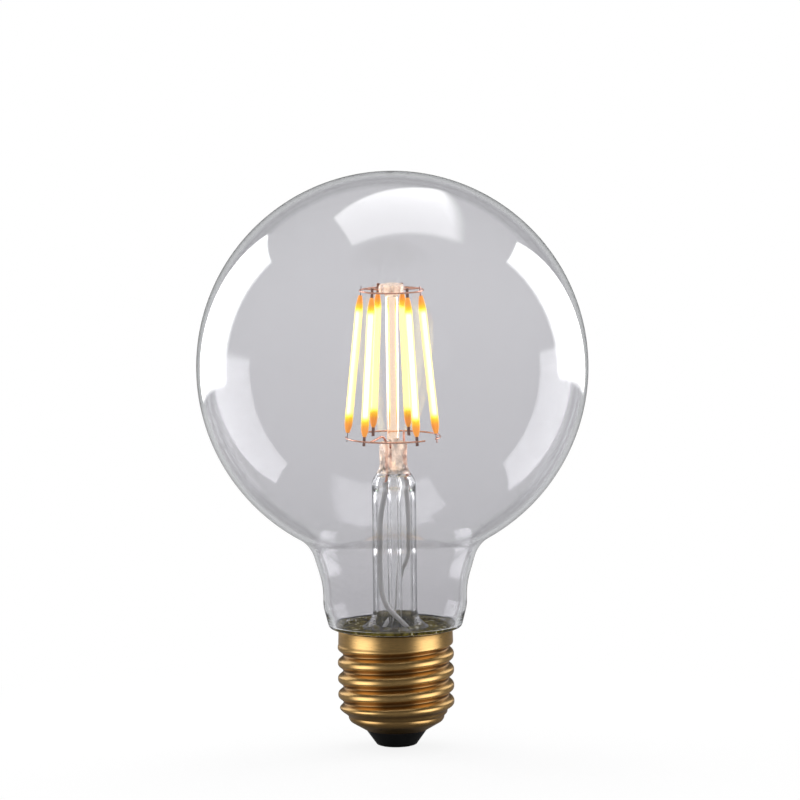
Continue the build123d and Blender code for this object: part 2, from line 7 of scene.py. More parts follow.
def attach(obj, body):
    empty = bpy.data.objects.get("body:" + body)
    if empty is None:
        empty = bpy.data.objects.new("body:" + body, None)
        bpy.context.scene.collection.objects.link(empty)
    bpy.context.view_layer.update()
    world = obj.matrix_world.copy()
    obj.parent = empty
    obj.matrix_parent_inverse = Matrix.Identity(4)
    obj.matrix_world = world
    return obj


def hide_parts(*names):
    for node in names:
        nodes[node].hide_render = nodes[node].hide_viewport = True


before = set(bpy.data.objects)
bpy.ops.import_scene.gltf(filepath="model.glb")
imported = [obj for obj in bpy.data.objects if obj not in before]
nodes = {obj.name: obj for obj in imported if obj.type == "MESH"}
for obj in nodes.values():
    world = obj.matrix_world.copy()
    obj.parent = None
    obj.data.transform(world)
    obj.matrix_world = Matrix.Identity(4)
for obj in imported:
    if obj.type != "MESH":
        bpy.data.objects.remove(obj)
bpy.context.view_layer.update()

# The visual model of a clear globe bulb with LED filaments. Sizes are in
# millimetres, as the solids' source has them, and MM turns them into metres.
MM = 0.001

# Globe and neck, whose corners are given by radius, height and bend
GLOBE_RADIUS = 44.35
BULB_HEIGHT = 130.9
GLOBE_WALL = 1.0
SEAT_RADIUS = 12.4
SEAL_HEIGHT = 25.6
NECK_FOOT = (15.0, 27.0, 1.3)
NECK_BULGE = (16.3, 32.1, 9.0)
NECK_WAIST = (16.3, 37.0, 18.0)
FLANK_LEAN = 16.6
GLOBE_ROOT_BEND = 8.0
GLOBE_SEGMENTS = 160
SEAL_WALL = 0.2
FOOT_UNDER = 27.08
FOOT_REACH = 13.6
FOOT_LEAST_BEND = 0.5
FILLET_STEPS = 10
DOME_STEPS = 90

# Stem: flare tube, press, exhaust tube, rod and button
FLANGE_THICKNESS = 1.2
FLANGE_BASE = SEAL_HEIGHT - FLANGE_THICKNESS
FLANGE_GAP = 0.05
FLANGE_BARE_RADIUS = 6.6
FLANGE_FINISH = (24.6, 27.1)
FLARE_BEND = 4.6
FLARE_STEPS = 14
STEM_RADIUS = 5.0
STEM_BORE = 4.1
STEM_SHOULDER = 59.8
STEM_SEGMENTS = 64
TUBE_LEVELS = (36, 42, 48, 54)
TUBE_TOP = 58
PRESS_FOOT = 64.3
PRESS_TOP = 69.7
PRESS_WIDTH = 6.3
PRESS_DEPTH = 3.5
PRESS_LEVELS = (64.9, 66.0, 67.5, 68.8)
PRESS_SQUARENESS = 3.6
PRESS_EDGE = 0.8
PRESS_HAZE_AND_GLOW = 62.4
CAVITY_SHOULDER = 57.6
CAVITY_TOP = 61.2
CAVITY_WIDTH = 6.0
CAVITY_DEPTH = 3.6
CAVITY_SQUARENESS = (2.6, 2.4)
CAVITY_EDGE = (0.8, 0.4)
BLOW_HOLE_RADIUS = 0.6
BLOW_HOLE_FOOT = 62.2
BLOW_HOLE_DOME = 64.4
EXHAUST_RADIUS = 1.6
EXHAUST_BORE = 0.8
EXHAUST_TIP = 15.0
EXHAUST_TIP_LENGTH = 3.0
EXHAUST_TIP_RADIUS = 0.35
EXHAUST_BORE_RISE = 0.6
EXHAUST_TIP_RISE = 0.5
TIP_SHOULDERS = ((0.75, 1.2), (0.96, 0.3))
EXHAUST_MIDDLE = 40
EXHAUST_SEGMENTS = 32
ROD_RADIUS = 1.4
ROD_COLLAR = 0.5
ROD_LEVELS = (80, 95)
ROD_SEGMENTS = 48
COLLAR_DEPTH = 3.2
BUTTON_RADIUS = 2.9
BUTTON_BASE = 103.2
BUTTON_TOP = 105.5
BUTTON_EDGE = 0.8
BUTTON_FILLET = 0.6
BUTTON_HAZE_AND_GLOW = 102.8

# Filaments, whose coats light up between two heights, and the rings at their ends
FILAMENT_ANGLES = (70.0, 116.0, 180.0, 231.0, 301.0, 341.0)
FILAMENT_LENGTH = 31.4
FILAMENT_RADIUS = 0.92
FILAMENT_TAPERS = (2.6, 4.0)
FILAMENT_END_RADIUS = 0.4
COAT_SEGMENTS = 24
CORE_RADIUS = 0.62
CORE_END_RADIUS = 0.24
CORE_TRIM = 0.3
CORE_SEGMENTS = 16
TAPER_SHARES = (0.0, 0.2, 0.4, 0.6, 0.8, 1.0)
SHANK_STEPS = 6
TOP_RING = (7.2, 104.0)
LOWER_RING = (10.7, 70.6)
RING_INSET = 0.295
LIT_FOOT = 73.4
LIT_TOP = 101.9
LIT_FADE = 3.4

# Screw cap
THREAD_START = 6.909
THREAD_END = 23.8
THREAD_PITCH = 3.629
THREAD_CREST_RADIUS = 13.2
THREAD_DEPTH = 1.2
THREAD_RUN_IN = 3.0
CREST_BREADTH = 0.2
THREAD_RUN_OUT = 1.2
CREST_HEIGHT = 13.649
SHOULDER_RADIUS = 10.9
SKIRT_RADIUS = 13.05
SKIRT_LEAN = 0.1
CAP_HEIGHT = 26.7
CAP_SHEET = 0.3
LIP_RADIUS = 6.9
LIP_HEIGHT = 3.6
SHOULDER_BEND = 1.6
SHOULDER_SLOPE = 30.0
CAP_SEGMENTS = 192
RINGS_PER_PITCH = 28

# Cement
CEMENT_RADII = (6.2, 11.4)
CEMENT_DEPTH = 2.2
CEMENT_TOP = 26.5
CEMENT_GAP = 0.02
CEMENT_CHAMFER = 0.3
CEMENT_SHOWS = 26.6
CEMENT_SEGMENTS = 128


# Meshes
def mesh_piece(name, points, faces, material, replaced):
    """A smooth mesh that rides on the bulb and stands for CAD nodes."""
    mesh = bpy.data.meshes.new(name)
    mesh.from_pydata([tuple(c * MM for c in p) for p in points], [], faces)
    mesh.polygons.foreach_set("use_smooth", [True] * len(mesh.polygons))
    mesh.update()
    piece = bpy.data.objects.new(name, mesh)
    bpy.context.scene.collection.objects.link(piece)
    mesh.materials.append(material)
    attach(piece, "root")
    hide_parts(*replaced)
    return piece


def refinish(piece, material, picked):
    """Gives the faces that a test of their middle picks another material."""
    piece.data.materials.append(material)
    last = len(piece.data.materials) - 1
    for face in piece.data.polygons:
        if picked(face.center / MM):
            face.material_index = last


def skin(rings, closed=False):
    """Points and quads through rings of equal count, outside on the right."""
    count = len(rings[0])
    points = [p for ring in rings for p in ring]
    faces = []
    steps = len(rings) if closed else len(rings) - 1
    for row in range(steps):
        lower = row * count
        upper = (row + 1) % len(rings) * count
        for i in range(count):
            j = (i + 1) % count
            faces.append((lower + i, lower + j, upper + j, upper + i))
    return points, faces


def joined(*skins):
    """Several skins as one, each with its own points."""
    points = []
    faces = []
    for more_points, more_faces in skins:
        shift = len(points)
        points += more_points
        faces += [tuple(i + shift for i in face) for face in more_faces]
    return points, faces


def closed_skin(rings):
    """A skin with a flat cap at each end."""
    points, faces = skin(rings)
    count = len(rings[0])
    faces.append(tuple(reversed(range(count))))
    faces.append(tuple(range(len(points) - count, len(points))))
    return points, faces


def circle_ring(radius, height, count):
    """A ring of points round the axis."""
    turns = [2 * math.pi * i / count for i in range(count)]
    return [(radius * math.cos(t), radius * math.sin(t), height) for t in turns]


def lathe(profile, count):
    """Rings for a profile of (radius, height) points, none of them quite on the axis."""
    return [circle_ring(max(r, 0.002), z, count) for r, z in profile]


def arc(centre, radius, start, end, steps):
    """Points on an arc of a profile, angles in degrees."""
    turns = [math.radians(start + (end - start) * i / steps) for i in range(steps + 1)]
    return [(centre[0] + radius * math.cos(t), centre[1] + radius * math.sin(t)) for t in turns]


def rounded(before, corner, after, radius, steps=10):
    """The corner of a profile, rounded by an arc that touches both its lines."""
    a = (Vector(before) - Vector(corner)).normalized()
    b = (Vector(after) - Vector(corner)).normalized()
    half = a.angle(b) / 2
    reach = radius / math.tan(half)
    middle = Vector(corner) + (a + b).normalized() * radius / math.sin(half)
    first = Vector(corner) + a * reach - middle
    last = Vector(corner) + b * reach - middle
    points = []
    for i in range(steps + 1):
        swung = first.lerp(last, i / steps).normalized() * radius + middle
        points.append((swung.x, swung.y))
    return points


def ease(share):
    """A smooth step from 0 to 1."""
    share = min(max(share, 0.0), 1.0)
    return share * share * (3 - 2 * share)


# Materials
# A painted dark band in the globe's tint, where its surface is seen nearly edge-on
RIM_SHADE_BAND = [(0.64, (1.0, 1.0, 1.0)), (0.72, (0.55, 0.55, 0.56)), (0.77, (1.0, 1.0, 1.0))]
ROUGHNESS_SPREAD = 0.06
# The brass's painted shade: full in the thread's roots, inside the first radius, none on the crests
# beyond the second, and only part of it on the shoulder below the thread
ROOT_SHADE_RADII = (12.0, 13.0)
SHOULDER_SHADE_REACH = 3.0
SHOULDER_UNSHADED_SHARE = 0.6


def new_material(name):
    """A new node material, with its tree and its output."""
    material = bpy.data.materials.new(name)
    material.use_nodes = True
    tree = material.node_tree
    tree.nodes.clear()
    return material, tree, tree.nodes.new("ShaderNodeOutputMaterial")


def principled(tree, **values):
    """A Principled shader with its sockets set by name."""
    shader = tree.nodes.new("ShaderNodeBsdfPrincipled")
    for socket, value in values.items():
        shader.inputs[socket.replace("_", " ")].default_value = value
    return shader


def add_bump(tree, shader, height, strength, distance):
    """Bump from a height socket, in metres of travel."""
    bump = tree.nodes.new("ShaderNodeBump")
    bump.inputs["Strength"].default_value = strength
    bump.inputs["Distance"].default_value = distance
    tree.links.new(height, bump.inputs["Height"])
    tree.links.new(bump.outputs["Normal"], shader.inputs["Normal"])


def object_noise(tree, scale, detail=2.0, stretch=(1, 1, 1)):
    """Noise fixed to the object, with an optional stretch."""
    place = tree.nodes.new("ShaderNodeTexCoord")
    mapping = tree.nodes.new("ShaderNodeMapping")
    mapping.inputs["Scale"].default_value = stretch
    noise = tree.nodes.new("ShaderNodeTexNoise")
    noise.inputs["Scale"].default_value = scale
    noise.inputs["Detail"].default_value = detail
    tree.links.new(place.outputs["Object"], mapping.inputs["Vector"])
    tree.links.new(mapping.outputs["Vector"], noise.inputs["Vector"])
    return noise


def ramp(tree, source, stops):
    """A colour ramp of (place, colour) stops."""
    node = tree.nodes.new("ShaderNodeValToRGB")
    band = node.color_ramp
    while len(band.elements) < len(stops):
        band.elements.new(0.5)
    for element, (place, colour) in zip(band.elements, stops):
        element.position = place
        element.color = (*colour, 1)
    tree.links.new(source, node.inputs["Fac"])
    return node


def smooth(tree, source, start, end, low=0.0, high=1.0):
    """A smooth step of a value, from low to high."""
    step = tree.nodes.new("ShaderNodeMapRange")
    step.interpolation_type = "SMOOTHSTEP"
    for socket, value in zip(("From Min", "From Max", "To Min", "To Max"), (start, end, low, high)):
        step.inputs[socket].default_value = value
    tree.links.new(source, step.inputs["Value"])
    return step.outputs["Result"]


def operate(tree, kind, operation, values):
    """One operation of a math node, on sockets and plain values."""
    node = tree.nodes.new(kind)
    node.operation = operation
    for socket, value in zip(node.inputs, values):
        if isinstance(value, bpy.types.NodeSocket):
            tree.links.new(value, socket)
        else:
            socket.default_value = value
    return node.outputs


def math_node(tree, operation, *values):
    """The number that an operation gives."""
    return operate(tree, "ShaderNodeMath", operation, values)["Value"]


def object_height(tree):
    """The height above the bulb's foot, in metres."""
    place = tree.nodes.new("ShaderNodeTexCoord")
    split = tree.nodes.new("ShaderNodeSeparateXYZ")
    tree.links.new(place.outputs["Object"], split.inputs["Vector"])
    return split.outputs["Z"]


def from_axis(tree, place):
    """The level vector from the bulb's axis to the surface, in metres."""
    values = (place.outputs["Object"], (1, 1, 0))
    return operate(tree, "ShaderNodeVectorMath", "MULTIPLY", values)["Vector"]


def blend(tree, kind, first, second):
    """A colour mix whose factor is still to be set."""
    node = tree.nodes.new("ShaderNodeMix")
    node.data_type = "RGBA"
    node.blend_type = kind
    for name, value in (("A", first), ("B", second)):
        if isinstance(value, bpy.types.NodeSocket):
            tree.links.new(value, node.inputs[name])
        else:
            node.inputs[name].default_value = (*value, 1)
    return node


def glass(name, tint, ior, body, density, ripple=0.0, edge=None, height_shades=None):
    """Clear glass that lets the lamps' light straight through for shadows.

    Its tint may turn dark towards its edge, a painted dark outline, or, on the globe, darken
    towards the neck and in a band near the rim, both painted shade.
    """
    material, tree, output = new_material(name)
    shader = principled(
        tree, Base_Color=(*tint, 1), Roughness=0.0, IOR=ior, Transmission_Weight=1.0
    )
    # A painted dark outline: the tint turns dark where the glass is seen edge-on
    if edge:
        start, end, dark = edge
        facing = tree.nodes.new("ShaderNodeLayerWeight")
        tone = ramp(tree, facing.outputs["Facing"], [(start, tint), (end, dark)])
        tree.links.new(tone.outputs["Color"], shader.inputs["Base Color"])
    # Painted shade: the tint darkens towards the neck, and a dark band is painted near the rim by
    # how the surface faces
    if height_shades:
        share = math_node(tree, "DIVIDE", object_height(tree), BULB_HEIGHT * MM)
        tone = ramp(tree, share, [(height / BULB_HEIGHT, colour) for height, colour in height_shades])
        facing = tree.nodes.new("ShaderNodeLayerWeight")
        rim = ramp(tree, facing.outputs["Facing"], RIM_SHADE_BAND)
        both = blend(tree, "MULTIPLY", tone.outputs["Color"], rim.outputs["Color"])
        both.inputs["Factor"].default_value = 1.0
        tree.links.new(both.outputs["Result"], shader.inputs["Base Color"])
    if ripple:
        noise = object_noise(tree, 60.0, 1.0)
        add_bump(tree, shader, noise.outputs["Fac"], 1.0, ripple)
    clear = tree.nodes.new("ShaderNodeBsdfTransparent")
    clear.inputs["Color"].default_value = (*(math.sqrt(c) for c in tint), 1)
    path = tree.nodes.new("ShaderNodeLightPath")
    rays = (path.outputs["Is Shadow Ray"], path.outputs["Is Diffuse Ray"])
    mix = tree.nodes.new("ShaderNodeMixShader")
    tree.links.new(math_node(tree, "MAXIMUM", *rays), mix.inputs["Fac"])
    tree.links.new(shader.outputs["BSDF"], mix.inputs[1])
    tree.links.new(clear.outputs["BSDF"], mix.inputs[2])
    tree.links.new(mix.outputs["Shader"], output.inputs["Surface"])
    absorption = tree.nodes.new("ShaderNodeVolumeAbsorption")
    absorption.inputs["Color"].default_value = (*body, 1)
    absorption.inputs["Density"].default_value = density
    tree.links.new(absorption.outputs["Volume"], output.inputs["Volume"])
    return material


def root_shaded(tree, unshaded, root_shade):
    """A metal's tone with painted shade: darker in the thread's roots and on the shoulder below it.
    """
    place = tree.nodes.new("ShaderNodeTexCoord")
    reach = operate(tree, "ShaderNodeVectorMath", "LENGTH", (from_axis(tree, place),))["Value"]
    shoulder = (THREAD_START + SHOULDER_SHADE_REACH) * MM
    below = smooth(tree, object_height(tree), shoulder, THREAD_START * MM, 0.0, SHOULDER_UNSHADED_SHARE)
    crests = smooth(tree, reach, ROOT_SHADE_RADII[0] * MM, ROOT_SHADE_RADII[1] * MM)
    shaded = blend(tree, "MIX", root_shade, unshaded)
    tree.links.new(math_node(tree, "MAXIMUM", crests, below), shaded.inputs["Factor"])
    return shaded.outputs["Result"]


def metal(name, colour, roughness, grain=0.0, grain_stretch=(1, 1, 1), root_shade=None):
    """Metal whose roughness and tone vary a little along its grain."""
    material, tree, output = new_material(name)
    shader = principled(tree, Metallic=1.0)
    noise = object_noise(tree, 700.0, 3.0, grain_stretch)
    dark = tuple(c * 0.88 for c in colour)
    light = tuple(min(c * 1.1, 1.0) for c in colour)
    tone = ramp(tree, noise.outputs["Fac"], [(0.3, dark), (0.7, light)]).outputs["Color"]
    # Painted shade in the thread's roots and on the shoulder, where it is given
    if root_shade:
        tone = root_shaded(tree, tone, root_shade)
    tree.links.new(tone, shader.inputs["Base Color"])
    rough = tree.nodes.new("ShaderNodeMapRange")
    rough.inputs["To Min"].default_value = roughness - ROUGHNESS_SPREAD
    rough.inputs["To Max"].default_value = roughness + ROUGHNESS_SPREAD
    tree.links.new(noise.outputs["Fac"], rough.inputs["Value"])
    tree.links.new(rough.outputs["Result"], shader.inputs["Roughness"])
    if grain:
        add_bump(tree, shader, noise.outputs["Fac"], 1.0, grain)
    tree.links.new(shader.outputs["BSDF"], output.inputs["Surface"])
    return material


def plain(name, colour, roughness, variation=0.1, scale=300.0, bump=0.0, **values):
    """A dielectric with a slightly uneven colour."""
    material, tree, output = new_material(name)
    shader = principled(tree, Roughness=roughness, **values)
    noise = object_noise(tree, scale)
    dark = tuple(c * (1 - variation) for c in colour)
    light = tuple(min(c * (1 + variation), 1.0) for c in colour)
    tone = ramp(tree, noise.outputs["Fac"], [(0.3, dark), (0.7, light)])
    tree.links.new(tone.outputs["Color"], shader.inputs["Base Color"])
    if bump:
        add_bump(tree, shader, noise.outputs["Fac"], 1.0, bump)
    tree.links.new(shader.outputs["BSDF"], output.inputs["Surface"])
    return material


def crackled(name, colour, painted_glow):
    """Pressed glass, wrinkled and a little milky, with a painted glow in blotches that stands for
    the filaments' light scattered in it.
    """
    material, tree, output = new_material(name)
    shader = principled(
        tree, Base_Color=(*colour, 1), Roughness=0.08, IOR=1.5, Transmission_Weight=0.7,
        Emission_Color=(*painted_glow, 1),
    )
    noise = object_noise(tree, 700.0, 3.0, (1.0, 1.0, 0.6))
    glow = smooth(tree, noise.outputs["Fac"], 0.42, 0.62, 0.02, 0.6)
    tree.links.new(glow, shader.inputs["Emission Strength"])
    add_bump(tree, shader, noise.outputs["Fac"], 1.0, 0.0012)
    tree.links.new(shader.outputs["BSDF"], output.inputs["Surface"])
    return material


def crumbly(name):
    """Olive cement seen through glass, dark in its pores, with pale specks that are painted glints,
    as it has no gloss of its own.
    """
    material, tree, output = new_material(name)
    shader = principled(tree, Roughness=0.9, Specular_IOR_Level=0.0)
    noise = object_noise(tree, 950.0, 4.0, (1.0, 1.0, 0.5))
    tones = [
        (0.32, (0.015, 0.009, 0.0005)),
        (0.5, (0.085, 0.062, 0.003)),
        (0.62, (0.17, 0.13, 0.012)),
        # The last, pale stop paints glints
        (0.69, (0.70, 0.66, 0.50)),
    ]
    tone = ramp(tree, noise.outputs["Fac"], tones)
    tree.links.new(tone.outputs["Color"], shader.inputs["Base Color"])
    add_bump(tree, shader, noise.outputs["Fac"], 1.0, 0.0006)
    tree.links.new(shader.outputs["BSDF"], output.inputs["Surface"])
    return material


def lit_share(tree):
    """How far a filament's coat is lit at each height: 0 at its ends and 1 between."""
    height = object_height(tree)
    foot = smooth(tree, height, LIT_FOOT * MM, (LIT_FOOT + LIT_FADE) * MM)
    top = smooth(tree, height, LIT_TOP * MM, (LIT_TOP - LIT_FADE) * MM)
    return math_node(tree, "MULTIPLY", foot, top)


def outward_share(tree):
    """How far a face looks away from the bulb's axis: -1 inwards and 1 outwards."""
    place = tree.nodes.new("ShaderNodeTexCoord")
    unit = operate(tree, "ShaderNodeVectorMath", "NORMALIZE", (from_axis(tree, place),))
    values = (unit["Vector"], place.outputs["Normal"])
    return operate(tree, "ShaderNodeVectorMath", "DOT_PRODUCT", values)["Value"]


def phosphor(tree, lit, tones, roughness, inward, strengths):
    """A shader that glows in its own tone, brightest outwards and where it is lit."""
    tone = ramp(tree, lit, tones)
    shader = principled(tree, Roughness=roughness)
    tree.links.new(tone.outputs["Color"], shader.inputs["Base Color"])
    tree.links.new(tone.outputs["Color"], shader.inputs["Emission Color"])
    turned = smooth(tree, outward_share(tree), -0.6, 0.5, inward, 1.0)
    strength = math_node(tree, "MULTIPLY", turned, smooth(tree, lit, *strengths))
    tree.links.new(strength, shader.inputs["Emission Strength"])
    return shader


def phosphor_core(name):
    """The lit chips inside a filament, white where lit and amber at the ends."""
    material, tree, output = new_material(name)
    tones = [
        (0.0, (1.0, 0.42, 0.04)),
        (0.35, (1.0, 0.66, 0.02)),
        (0.8, (1.0, 0.86, 0.30)),
        (1.0, (1.0, 0.92, 0.58)),
    ]
    shader = phosphor(tree, lit_share(tree), tones, 0.5, 0.35, (0.4, 1.0, 0.7, 3.6))
    tree.links.new(shader.outputs["BSDF"], output.inputs["Surface"])
    return material


def phosphor_coat(name):
    """The see-through silicone round the chips: yellow where lit, amber at the ends."""
    material, tree, output = new_material(name)
    tones = [
        (0.0, (1.0, 0.42, 0.05)),
        (0.25, (1.0, 0.60, 0.02)),
        (0.7, (1.0, 0.76, 0.02)),
        (1.0, (1.0, 0.82, 0.25)),
    ]
    lit = lit_share(tree)
    shader = phosphor(tree, lit, tones, 0.35, 0.6, (0.0, 1.0, 0.75, 1.2))
    clear = tree.nodes.new("ShaderNodeBsdfTransparent")
    mix = tree.nodes.new("ShaderNodeMixShader")
    tree.links.new(smooth(tree, lit, 0.3, 1.0, 0.9, 0.42), mix.inputs["Fac"])
    tree.links.new(clear.outputs["BSDF"], mix.inputs[1])
    tree.links.new(shader.outputs["BSDF"], mix.inputs[2])
    tree.links.new(mix.outputs["Shader"], output.inputs["Surface"])
    return material


PHOSPHOR_CORE = phosphor_core("phosphor_core")
PHOSPHOR_COAT = phosphor_coat("phosphor_coat")
# The globe's tint by height: painted shade, darker towards the neck
GLOBE_SHADE_BY_HEIGHT = [
    (33.0, (0.665, 0.655, 0.675)),
    (40.0, (0.70, 0.69, 0.71)),
    (62.0, (0.735, 0.725, 0.745)),
    (102.0, (0.785, 0.775, 0.795)),
]
GLOBE_GLASS = glass(
    "globe_glass", (0.775, 0.765, 0.785), 1.52, (0.60, 0.93, 0.88), 22.0, height_shades=GLOBE_SHADE_BY_HEIGHT
)
# The stem's glass has a painted dark outline where it is seen edge-on
STEM_GLASS = glass(
    "stem_glass", (0.985, 0.985, 0.985), 1.52, (0.7, 0.9, 0.85), 10.0, 0.00002,
    edge=(0.45, 0.75, (0.05, 0.055, 0.055)),
)
# The press and the rod's button get glass with a painted warm glow
PRESS_GLASS = crackled("press_glass", (1.0, 0.88, 0.78), (1.0, 0.74, 0.54))
# The rod's glass has a painted warm glow, standing for the filaments' light scattered in it
ROD_GLASS = plain(
    "rod_glass", (0.98, 0.91, 0.82), 0.0, 0.01, 60.0, 0.00002, Transmission_Weight=1.0, IOR=1.5,
    Emission_Color=(1.0, 0.55, 0.20, 1), Emission_Strength=0.26,
)
# Brass with painted shade, a darker tone, in the thread's roots and on the shoulder
BRASS = metal(
    "cap_brass", (0.78, 0.49, 0.19), 0.30, 0.000004, (1, 1, 6), root_shade=(0.36, 0.20, 0.075)
)
BLACK_GLASS = plain("black_glass", (0.012, 0.012, 0.013), 0.28, 0.3, 500.0, 0.00001)
CONTACT = metal("contact_metal", (0.62, 0.60, 0.56), 0.32)
RING_WIRE = metal("ring_wire", (0.66, 0.36, 0.26), 0.25)
LEAD_WIRE = metal("lead_wire", (0.58, 0.27, 0.20), 0.28)
TAB_METAL = metal("tab_metal", (0.24, 0.12, 0.09), 0.35)
SLEEVE = plain(
    "lead_sleeve", (0.97, 0.96, 0.95), 0.15, 0.03, 900.0, 0.00001, Transmission_Weight=0.1, IOR=1.35
)
CEMENT = crumbly("cement")
BOARD = plain("board", (0.03, 0.12, 0.05), 0.35, 0.15)
PACKAGE = plain("package", (0.02, 0.02, 0.02), 0.45, 0.2)
CAPACITOR = plain("capacitor", (0.03, 0.03, 0.05), 0.3, 0.2)
RESISTOR = plain("resistor", (0.35, 0.45, 0.40), 0.5, 0.2)
SOLDER = metal("solder", (0.70, 0.70, 0.68), 0.3)


# Globe
def line_meets_circle(start, lean, centre, radius):
    """Where a line that leans outwards from start first meets a circle round the axis."""
    drop = centre[1] - start[1]
    along = math.cos(lean) * drop - math.sin(lean) * start[0]
    reach = along - math.sqrt(radius**2 - (start[0] ** 2 + drop**2 - along**2))
    return (start[0] + reach * math.sin(lean), start[1] + reach * math.cos(lean))


def globe_profile(inset):
    """The globe's outline from the neck's end to the top, moved in by inset."""
    centre = (0.0, BULB_HEIGHT - GLOBE_RADIUS)
    radius = GLOBE_RADIUS - inset
    lean = math.radians(FLANK_LEAN)
    thin = min(inset, SEAL_WALL)
    seat = (SEAT_RADIUS - thin, SEAL_HEIGHT)
    ledge = (SEAT_RADIUS - thin, NECK_FOOT[1] + thin)
    foot = (NECK_FOOT[0] - inset, NECK_FOOT[1] + inset)
    bulge = (NECK_BULGE[0] - inset, NECK_BULGE[1])
    waist = (NECK_WAIST[0] - inset, NECK_WAIST[1])
    root = line_meets_circle(waist, lean, centre, radius)
    # The fillet between flank and globe has its centre outside both
    bend = GLOBE_ROOT_BEND + inset
    beside = (waist[0] + bend * math.cos(lean), waist[1] - bend * math.sin(lean))
    hub = line_meets_circle(beside, lean, centre, radius + bend)
    end = math.degrees(math.atan2(centre[1] - hub[1], centre[0] - hub[0]))
    profile = [seat, ledge]
    profile += rounded(ledge, foot, bulge, max(NECK_FOOT[2] - inset, FOOT_LEAST_BEND))
    profile += rounded(foot, bulge, waist, NECK_BULGE[2])
    profile += rounded(bulge, waist, root, NECK_WAIST[2] + inset)
    profile += arc(hub, bend, 180 - FLANK_LEAN, end, FILLET_STEPS)
    profile += arc(centre, radius, end - 180, 90, DOME_STEPS)[1:]
    return profile


def make_globe():
    """The blown globe: an outer and an inner skin joined at the neck's end."""
    outside = globe_profile(0.0)
    inside = globe_profile(GLOBE_WALL)
    rings = lathe(list(reversed(inside)) + outside, GLOBE_SEGMENTS)
    points, faces = skin(rings)
    globe = mesh_piece("bulb_globe", points, faces, GLOBE_GLASS, ["glass_globe"])
    refinish(globe, CEMENT, lambda middle: middle.z < FOOT_UNDER and middle.xy.length < FOOT_REACH)


# Stem
def press_ring(width, depth, height, squareness):
    """A ring of the stem that is round at 2 and nearly a rounded bar at 5."""
    ring = []
    for i in range(STEM_SEGMENTS):
        turn = 2 * math.pi * i / STEM_SEGMENTS
        c, s = math.cos(turn), math.sin(turn)
        x = math.copysign(abs(c) ** (2 / squareness), c) * width / 2
        y = math.copysign(abs(s) ** (2 / squareness), s) * depth / 2
        ring.append((x, y, height))
    return ring


def narrowing_rings(radius, bar, squareness, start, end, steps):
    """Rings that lead from a round tube to a bar of (width, depth)."""
    rings = []
    for i in range(steps + 1):
        share = i / steps
        narrowing = ease(share)
        width = 2 * radius + (bar[0] - 2 * radius) * narrowing
        depth = 2 * radius + (bar[1] - 2 * radius) * narrowing
        height = start + (end - start) * share
        rings.append(press_ring(width, depth, height, 2 + (squareness - 2) * narrowing))
    return rings


def stem_outside():
    """Rings from the flange's edge up the tube and the press to the rod's collar."""
    hub = (STEM_RADIUS + FLARE_BEND, CEMENT_SHOWS + FLARE_BEND)
    edge = SEAT_RADIUS - SEAL_WALL
    profile = [(edge, FLANGE_BASE + FLANGE_GAP), (edge, CEMENT_SHOWS)]
    profile += arc(hub, FLARE_BEND, 270, 180, FLARE_STEPS)
    profile += [(STEM_RADIUS, z) for z in (*TUBE_LEVELS, TUBE_TOP)]
    rings = lathe(profile, STEM_SEGMENTS)
    bar = (PRESS_WIDTH, PRESS_DEPTH)
    rings += narrowing_rings(STEM_RADIUS, bar, PRESS_SQUARENESS, STEM_SHOULDER, PRESS_FOOT, 12)
    for height in PRESS_LEVELS:
        rings.append(press_ring(PRESS_WIDTH, PRESS_DEPTH, height, PRESS_SQUARENESS))
    for share in (0.25, 0.5, 0.75, 1.0):
        turn = share * math.pi / 2
        pull = PRESS_EDGE * (1 - math.cos(turn))
        width = PRESS_WIDTH - 2 * pull
        depth = PRESS_DEPTH - 1.2 * pull
        height = PRESS_TOP - PRESS_EDGE * (1 - math.sin(turn))
        rings.append(press_ring(width, depth, height, PRESS_SQUARENESS - share))
    for share in (0.34, 0.67, 1.0):
        turn = share * math.pi / 2
        width = 2 * (ROD_RADIUS + ROD_COLLAR * (1 - math.sin(turn)))
        height = PRESS_TOP + ROD_COLLAR * (1 - math.cos(turn))
        rings.append(press_ring(width, min(width, COLLAR_DEPTH), height, 2))
    return rings


def stem_inside():
    """Rings from the exhaust tube's root down the cavity to the flange's underside."""
    hub = (STEM_BORE + FLARE_BEND, FLANGE_BASE + FLARE_BEND)
    profile = [(FLANGE_BARE_RADIUS, FLANGE_BASE)]
    profile += arc(hub, FLARE_BEND, 270, 180, FLARE_STEPS)
    profile += [(STEM_BORE, z) for z in TUBE_LEVELS]
    rings = lathe(profile, STEM_SEGMENTS)
    bar = (CAVITY_WIDTH, CAVITY_DEPTH)
    side, roof = CAVITY_EDGE
    end = CAVITY_TOP - roof
    rings += narrowing_rings(STEM_BORE, bar, CAVITY_SQUARENESS[0], CAVITY_SHOULDER, end, 8)
    for share in (0.4, 0.7, 1.0):
        turn = share * math.pi / 2
        pull = side * (1 - math.cos(turn))
        width = CAVITY_WIDTH - 2 * pull
        depth = CAVITY_DEPTH - 0.3 * pull
        height = CAVITY_TOP - roof * (1 - math.sin(turn))
        rings.append(press_ring(width, depth, height, CAVITY_SQUARENESS[1]))
    rings.append(circle_ring(EXHAUST_RADIUS, CAVITY_TOP, STEM_SEGMENTS))
    return list(reversed(rings))


